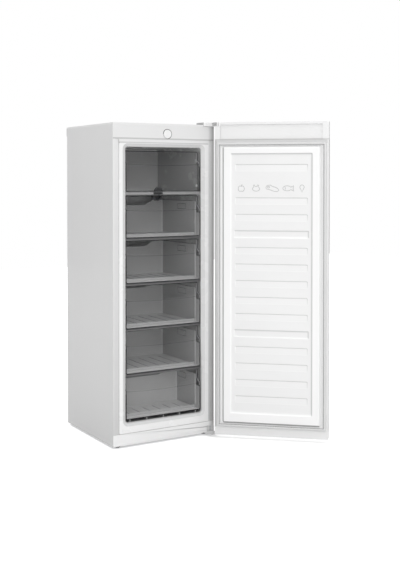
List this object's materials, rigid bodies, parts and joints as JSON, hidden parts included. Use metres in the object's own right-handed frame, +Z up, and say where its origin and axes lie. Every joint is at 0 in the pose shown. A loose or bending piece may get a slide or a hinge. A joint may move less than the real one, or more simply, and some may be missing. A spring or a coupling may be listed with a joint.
{
  "type": "upright freezer",
  "caption": "White free-standing upright freezer, door open on right-hand hinges, with a flap compartment above clear-fronted drawers, a control dial and a ribbed door liner.",
  "frame": {"origin": "centre of the cabinet's footprint on the floor, under the feet", "axes": "+Z up, +Y to the rear of the cabinet, +X to the right as seen from the front; the door opens towards -Y and its hinge is on the +X side"},
  "size_m": [1.0289, 1.0648, 1.664],
  "materials": {
    "base_plate": "satin",
    "foam": "matte",
    "compressor": "satin",
    "compressor_mounts": "matte",
    "condenser_coil": "satin",
    "control_panel": "satin",
    "door_bottom_cap": "satin",
    "door_gasket": "matte",
    "door_liner": "gloss",
    "door_skin": "satin",
    "door_top_cap": "satin",
    "clear_front": "gloss",
    "grip": "satin",
    "tub": "satin",
    "evaporator_tube": "satin",
    "copper": "satin",
    "flap_pivots": "satin",
    "gasket_magnet": "matte",
    "hinge_bushes": "satin",
    "screw": "satin",
    "inner_liner": "gloss",
    "foot": "matte",
    "side_panel": "satin",
    "lower_hinge": "satin",
    "machine_bay_sheet": "satin",
    "plinth": "satin",
    "rear_panel": "satin",
    "shelf": "satin",
    "shelf_trims": "satin",
    "terminal_box": "matte",
    "thermostat": "matte",
    "thermostat_knob": "satin",
    "top_hinge": "satin",
    "top_hinge_cover": "satin",
    "top_rail": "satin",
    "worktop": "satin"
  },
  "bodies": {
    "cabinet": {"base_plate": "base_plate", "cabinet_foam": "foam", "compressor": "compressor", "compressor_mounts": "compressor_mounts", "condenser_coil": "condenser_coil", "control_panel": "control_panel", "evaporator_coil": "evaporator_tube", "evaporator_risers": "evaporator_tube", "filter_drier": "copper", "flap_catch": "grip", "flap_pivots": "flap_pivots", "hinge_screws": "screw", "inner_liner": "inner_liner", "left_side_panel": "side_panel", "lower_hinge": "lower_hinge", "machine_bay_sheet": "machine_bay_sheet", "mount_pins": "screw", "plinth": "plinth", "rear_feet": "foot", "rear_panel": "rear_panel", "rear_screws": "screw", "refrigerant_pipes": "copper", "right_side_panel": "side_panel", "shelf_1": "shelf", "shelf_2": "shelf", "shelf_3": "shelf", "shelf_4": "shelf", "shelf_5": "shelf", "shelf_trims": "shelf_trims", "terminal_box": "terminal_box", "thermostat": "thermostat", "top_hinge": "top_hinge", "top_hinge_cover": "top_hinge_cover", "top_rail": "top_rail", "worktop": "worktop"},
    "door": {"door_bottom_cap": "door_bottom_cap", "door_foam": "foam", "door_gasket": "door_gasket", "door_liner": "door_liner", "door_skin": "door_skin", "door_top_cap": "door_top_cap", "gasket_magnet": "gasket_magnet", "hinge_bushes": "hinge_bushes"},
    "flap": {"flap": "clear_front"},
    "thermostat_knob": {"thermostat_knob": "thermostat_knob"},
    "left_foot": {"left_foot": "foot"},
    "right_foot": {"right_foot": "foot"},
    "drawer_1": {"drawer_1_front": "clear_front", "drawer_1_grip": "grip", "drawer_1_tub": "tub"},
    "drawer_2": {"drawer_2_front": "clear_front", "drawer_2_tub": "tub"},
    "drawer_3": {"drawer_3_front": "clear_front", "drawer_3_tub": "tub"},
    "drawer_4": {"drawer_4_front": "clear_front", "drawer_4_tub": "tub"},
    "drawer_5": {"drawer_5_front": "clear_front", "drawer_5_tub": "tub"}
  },
  "joints": [
    {"name": "door_hinge", "type": "hinge", "parent": "cabinet", "child": "door", "pos_m": [0.2895, -0.341, 0.83], "axis": [0, 0, 1], "range_deg": [-138, 0]},
    {"name": "flap_hinge", "type": "hinge", "parent": "cabinet", "child": "flap", "pos_m": [0, -0.24, 1.459], "axis": [-1, 0, 0], "range_deg": [0, 80]},
    {"name": "thermostat_dial", "type": "hinge", "parent": "cabinet", "child": "thermostat_knob", "pos_m": [0.016, -0.29, 1.597], "axis": [0, 1, 0], "range_deg": [-140, 140]},
    {"name": "left_foot_screw", "type": "hinge", "parent": "cabinet", "child": "left_foot", "pos_m": [-0.2555, -0.25, 0.02], "axis": [0, 0, 1], "range_deg": [-720, 720]},
    {"name": "right_foot_screw", "type": "hinge", "parent": "cabinet", "child": "right_foot", "pos_m": [0.2555, -0.25, 0.02], "axis": [0, 0, 1], "range_deg": [-720, 720]},
    {"name": "drawer_1_slide", "type": "slide", "parent": "cabinet", "child": "drawer_1", "axis": [0, -1, 0], "range_m": [0, 0.34]},
    {"name": "drawer_2_slide", "type": "slide", "parent": "cabinet", "child": "drawer_2", "axis": [0, -1, 0], "range_m": [0, 0.34]},
    {"name": "drawer_3_slide", "type": "slide", "parent": "cabinet", "child": "drawer_3", "axis": [0, -1, 0], "range_m": [0, 0.34]},
    {"name": "drawer_4_slide", "type": "slide", "parent": "cabinet", "child": "drawer_4", "axis": [0, -1, 0], "range_m": [0, 0.34]},
    {"name": "drawer_5_slide", "type": "slide", "parent": "cabinet", "child": "drawer_5", "axis": [0, -1, 0], "range_m": [0, 0.2]}
  ]
}
